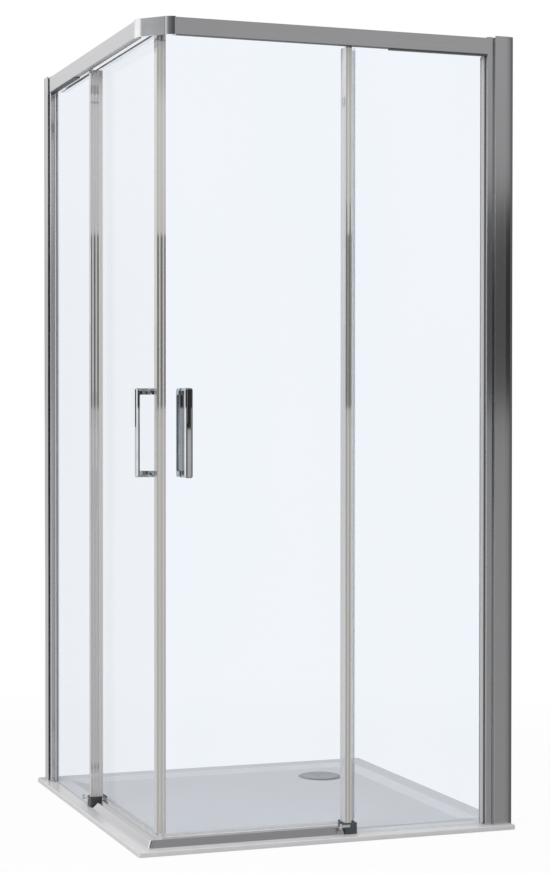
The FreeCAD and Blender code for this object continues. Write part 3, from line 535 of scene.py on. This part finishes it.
# Screens and doorways, each for a single mirror
screens = {"leftHandleFace": {"turn": (106.68, 106.92), "height": (-0.008, 0.0125), "grey": 0.03},
           "leftHandleRound": {"turn": (97.5, 100.5), "height": (-0.008, 0.0125), "grey": 0.03},
           "frontHandleFace": {"turn": (-72.0, -71.2), "height": (-0.009, 0.006), "grey": 0.03},
           "leftWallFace": {"turn": (-84.0, -75.2), "height": (-0.006, 0.115), "grey": 0.42},
           "frontWallEnd": {"turn": (-60.3, -30.0), "height": (0.002, 0.106), "grey": 0.03},
           "frontSill": {"turn": (-71.0, -60.0), "height": (0.5, 0.6), "grey": 0.28},
           "leftSill": {"turn": (107.7, 111.2), "height": (0.045, 0.085), "grey": 0.74}}


def roundRoom(tree, around, stops):  # greys round the room, from stops of degrees and grey
    walls = addNode(tree, "ShaderNodeValToRGB", {"Fac": around})
    elements = walls.color_ramp.elements
    while len(elements) < len(stops):
        elements.new(1.0)
    for element, (degrees, grey) in zip(elements, stops):
        element.position = (degrees + 180) / 360
        element.color = greyTone(grey)
    return walls.outputs["Color"]


def mirroredRoom(tree, way):  # colour of the room in a direction
    axes = addNode(tree, "ShaderNodeSeparateXYZ", {"Vector": way})
    height = axes.outputs["Z"]
    turn = addNode(tree, "ShaderNodeMath", {0: axes.outputs["Y"], 1: axes.outputs["X"]},
                   operation="ARCTAN2").outputs["Value"]
    around = addNode(tree, "ShaderNodeMapRange", {"Value": turn, "From Min": -math.pi,
                                                  "From Max": math.pi}).outputs["Result"]
    edges = {}
    for name, edge in roomEdges.items():
        (start, end), (first, last) = edge["height"], edge["values"]
        edges[name] = addNode(tree, "ShaderNodeMapRange", {
            "Value": height, "From Min": start, "From Max": end, "To Min": first, "To Max": last},
            interpolation_type=edge["run"]).outputs["Result"]
    colour = addNode(tree, "ShaderNodeMix", {
        "Factor": edges["upperStorey"], "A": roundRoom(tree, around, lowerWalls),
        "B": roundRoom(tree, around, upperWalls)}, data_type="RGBA").outputs["Result"]
    for name in ("footOfWalls", "steepFloor"):
        colour = addNode(tree, "ShaderNodeMix", {"Factor": 1.0, "A": colour, "B": edges[name]},
                         data_type="RGBA", blend_type="MULTIPLY").outputs["Result"]
    level = addNode(tree, "ShaderNodeMath", {0: height}, operation="ABSOLUTE")
    above, below = cabinet["edge"]
    lowDown = addNode(tree, "ShaderNodeMapRange", {"Value": level.outputs["Value"], "From Min": above,
                                                   "From Max": below})
    front = addNode(tree, "ShaderNodeMath", {0: lowDown.outputs["Result"],
                                             1: roundRoom(tree, around, cabinet["turn"])},
                    operation="MULTIPLY")
    start, end = [math.radians(degrees) for degrees in band["turn"]]
    first, last = [math.sin(math.radians(degrees)) for degrees in band["top"]]
    top = addNode(tree, "ShaderNodeMapRange", {"Value": turn, "From Min": start, "From Max": end,
                                               "To Min": first, "To Max": last})
    under = addNode(tree, "ShaderNodeMath", {0: top.outputs["Result"], 1: height}, operation="SUBTRACT")
    underTop = addNode(tree, "ShaderNodeMapRange", {
        "Value": under.outputs["Value"], "From Min": -band["topEdge"], "From Max": band["topEdge"]})
    tall = addNode(tree, "ShaderNodeMath", {0: underTop.outputs["Result"], 1: edges["bandFoot"]},
                   operation="MULTIPLY")
    near, far = band["ahead"]
    ahead = addNode(tree, "ShaderNodeMapRange", {"Value": axes.outputs["Y"], "From Min": near,
                                                 "From Max": far}, interpolation_type="SMOOTHSTEP")
    dark = addNode(tree, "ShaderNodeMath", {0: tall.outputs["Value"], 1: ahead.outputs["Result"]},
                   operation="MULTIPLY")
    first, last = band["grey"]
    bandTone = addNode(tree, "ShaderNodeMapRange", {"Value": turn, "From Min": start, "From Max": end,
                                                    "To Min": first, "To Max": last})
    behind = roundRoom(tree, around, skirting["turn"])
    low = addNode(tree, "ShaderNodeMath", {0: edges["skirtingTop"], 1: edges["skirtingFoot"]},
                  operation="MULTIPLY")
    board = addNode(tree, "ShaderNodeMath", {0: low.outputs["Value"], 1: behind}, operation="MULTIPLY")
    sheet = addNode(tree, "ShaderNodeMath", {0: edges["sheet"], 1: behind}, operation="MULTIPLY")
    for share, tone in ((front.outputs["Value"], greyTone(cabinet["grey"])),
                        (edges["ceiling"], greyTone(ceilingGrey)),
                        (dark.outputs["Value"], bandTone.outputs["Result"]),
                        (board.outputs["Value"], greyTone(skirting["grey"])),
                        (sheet.outputs["Value"], greyTone(1.0))):  # each one over those before it
        colour = addNode(tree, "ShaderNodeMix", {"Factor": share, "A": colour, "B": tone},
                         data_type="RGBA").outputs["Result"]
    for screen in screens.values():
        left, right = [math.radians(degrees) for degrees in screen["turn"]]
        bottom, top = screen["height"]
        across = addNode(tree, "ShaderNodeMath", {0: turn, 1: (left + right) / 2, 2: (right - left) / 2},
                         operation="COMPARE")
        upright = addNode(tree, "ShaderNodeMath", {0: height, 1: (bottom + top) / 2, 2: (top - bottom) / 2},
                          operation="COMPARE")
        within = addNode(tree, "ShaderNodeMath", {0: across.outputs["Value"], 1: upright.outputs["Value"]},
                         operation="MULTIPLY")
        colour = addNode(tree, "ShaderNodeMix", {"Factor": within.outputs["Value"], "A": colour,
                                                 "B": greyTone(screen["grey"])},
                         data_type="RGBA").outputs["Result"]
    return colour


def studioWorld():  # white for the eye, the room for mirrors, soft light for the rest
    world = bpy.data.worlds.new("studioRoom")
    world.use_nodes = True
    tree = world.node_tree
    tree.nodes.clear()
    way = addNode(tree, "ShaderNodeTexCoord").outputs["Generated"]
    tilt = addNode(tree, "ShaderNodeVectorMath", {0: way, 1: ambient["lean"]}, operation="DOT_PRODUCT")
    soft = addNode(tree, "ShaderNodeMath", {0: tilt.outputs["Value"], 1: ambient["level"]}, operation="ADD")
    path = addNode(tree, "ShaderNodeLightPath")
    mirrorRay = addNode(tree, "ShaderNodeMath", {0: path.outputs["Glossy Depth"], 1: 0.5},
                        operation="GREATER_THAN")  # at least one mirror on the way
    clearRay = addNode(tree, "ShaderNodeMath", {0: path.outputs["Is Transmission Ray"],
                                                1: mirrorRay.outputs["Value"]}, operation="SUBTRACT")
    seen = addNode(tree, "ShaderNodeMath", {0: path.outputs["Is Camera Ray"],
                                            1: clearRay.outputs["Value"]}, operation="MAXIMUM")
    plain = addNode(tree, "ShaderNodeMix", {"Factor": mirrorRay.outputs["Value"], "A": soft.outputs["Value"],
                                            "B": mirroredRoom(tree, way)}, data_type="RGBA")
    shown = addNode(tree, "ShaderNodeMix", {"Factor": seen.outputs["Value"], "A": plain.outputs["Result"],
                                            "B": greyTone(1.0)}, data_type="RGBA")
    light = addNode(tree, "ShaderNodeBackground", {"Color": shown.outputs["Result"], "Strength": 1.0})
    addNode(tree, "ShaderNodeOutputWorld", {"Surface": light.outputs["Background"]})
    world.cycles.sampling_method = "NONE"  # the room looks different to each kind of ray
    bpy.context.scene.world = world


# Matt white paper sweep: shows white further off and keeps a faint shadow near the tray
sweep = {"size": 40.0, "drop": 0.0005, "colour": "#DEDEDE", "show": (0.93, 1.0), "fade": (1.0, 2.6),
         "underTray": 0.48}  # within this of the middle the paper doesn't glow


def studioFloor():
    half = sweep["size"] / 2
    depth = -sweep["drop"]
    mesh = bpy.data.meshes.new("studioFloor")
    mesh.from_pydata([(-half, -half, depth), (half, -half, depth), (half, half, depth), (-half, half, depth)],
                     [], [(0, 1, 2, 3)])
    floor = bpy.data.objects.new("studioFloor", mesh)
    bpy.context.scene.collection.objects.link(floor)
    material, tree, out = newMaterial("paperSweep")
    path = addNode(tree, "ShaderNodeLightPath")
    seen = addNode(tree, "ShaderNodeMath", {0: path.outputs["Is Camera Ray"],
                                            1: path.outputs["Is Transmission Ray"]}, operation="MAXIMUM")
    place = addNode(tree, "ShaderNodeTexCoord")
    away = addNode(tree, "ShaderNodeVectorMath", {0: place.outputs["Object"]}, operation="LENGTH")
    (near, wide), (faint, full) = sweep["fade"], sweep["show"]
    whiter = addNode(tree, "ShaderNodeMapRange", {
        "Value": away.outputs["Value"], "From Min": near, "From Max": wide, "To Min": faint,
        "To Max": full}, interpolation_type="SMOOTHSTEP")
    size = addNode(tree, "ShaderNodeVectorMath", {0: place.outputs["Object"]}, operation="ABSOLUTE")
    sides = addNode(tree, "ShaderNodeSeparateXYZ", {"Vector": size.outputs["Vector"]})
    far = addNode(tree, "ShaderNodeMath", {0: sides.outputs["X"], 1: sides.outputs["Y"]}, operation="MAXIMUM")
    clear = addNode(tree, "ShaderNodeMath", {0: far.outputs["Value"], 1: sweep["underTray"]},
                    operation="GREATER_THAN")
    bright = addNode(tree, "ShaderNodeMath", {0: seen.outputs["Value"], 1: whiter.outputs["Result"]},
                     operation="MULTIPLY")
    share = addNode(tree, "ShaderNodeMath", {0: bright.outputs["Value"], 1: clear.outputs["Value"]},
                    operation="MULTIPLY")
    paper = addNode(tree, "ShaderNodeBsdfDiffuse", {"Color": linear(sweep["colour"])})
    glow = addNode(tree, "ShaderNodeEmission", {"Color": greyTone(1.0), "Strength": 1.0})
    mix = addNode(tree, "ShaderNodeMixShader", {0: share.outputs["Value"], 1: paper.outputs["BSDF"],
                                               2: glow.outputs["Emission"]})
    tree.links.new(mix.outputs["Shader"], out.inputs["Surface"])
    mesh.materials.append(material)
    floor.visible_glossy = False  # mirrors show the room below the horizon


lamps = {"key": {"place": (-2.6, -2.2, 3.6), "size": 2.4, "watts": 50.0},
         "top": {"place": (0.6, -0.4, 4.2), "size": 3.0, "watts": 46.0}}


def softLamps():  # both aim at the middle of the floor
    for name, lamp in lamps.items():
        data = bpy.data.lights.new(name + "Lamp", "AREA")
        data.shape = "DISK"
        data.size = lamp["size"]
        data.energy = lamp["watts"]
        item = bpy.data.objects.new(name + "Lamp", data)
        bpy.context.scene.collection.objects.link(item)
        item.location = lamp["place"]
        item.rotation_euler = (-item.location).to_track_quat("-Z", "Y").to_euler()
        item.visible_glossy = False  # mirrors show the room, not the lamp


# Camera at the photo's viewpoint, image 550 x 873
view = {"place": (-1.8268, -4.8609, 1.0617), "yaw": 18.376, "pitch": 0.740, "lens": 79.26, "sensor": 36.0,
        "shift": 0.10}


def photoCamera():
    data = bpy.data.cameras.new("photoCamera")
    data.lens = view["lens"]
    data.sensor_width = view["sensor"]
    data.shift_x = view["shift"]
    item = bpy.data.objects.new("photoCamera", data)
    bpy.context.scene.collection.objects.link(item)
    item.location = view["place"]
    item.rotation_euler = (math.radians(90 - view["pitch"]), 0.0, math.radians(-view["yaw"]))
    bpy.context.scene.camera = item


studioWorld()
studioFloor()
softLamps()
photoCamera()
bpy.context.scene.view_settings.view_transform = "Standard"
print("stage: studio and camera")
